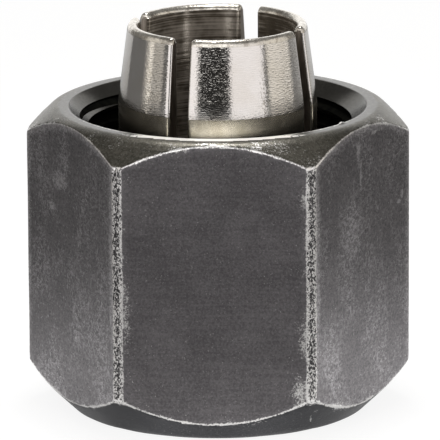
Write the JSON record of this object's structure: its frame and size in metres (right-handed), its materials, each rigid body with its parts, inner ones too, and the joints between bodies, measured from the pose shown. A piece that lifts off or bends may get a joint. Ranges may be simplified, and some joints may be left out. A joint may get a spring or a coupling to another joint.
{
  "type": "router collet and nut",
  "caption": "Half-inch router collet with slotted, tapered fingers, held by a wire ring in its hexagonal clamping nut.",
  "frame": {"origin": "where the common axis meets the nut's front face, on which the part stands", "axes": "+Z along the axis, from the nut's front face to the collet's slotted rear end; -Y square to one wrench flat"},
  "size_m": [0.0306, 0.027, 0.0313],
  "materials": {
    "blackened_steel": "black oxide, worn to bare steel along the edges",
    "plated_steel": "satin nickel plate over turning marks",
    "spring_wire": "drawn spring steel wire, oiled"
  },
  "bodies": {
    "nut": {"collet_nut": "blackened_steel"},
    "ring": {"retaining_ring": "spring_wire"},
    "collet": {"spring_collet": "plated_steel"}
  },
  "joints": [
    {"name": "collet_float", "type": "slide", "parent": "nut", "child": "ring", "axis": [0, 0, 1], "range_m": [0, 0.0004]},
    {"name": "collet_spin", "type": "hinge", "parent": "ring", "child": "collet", "pos_m": [0, 0, 0.0095], "axis": [0, 0, 1], "continuous": true}
  ]
}
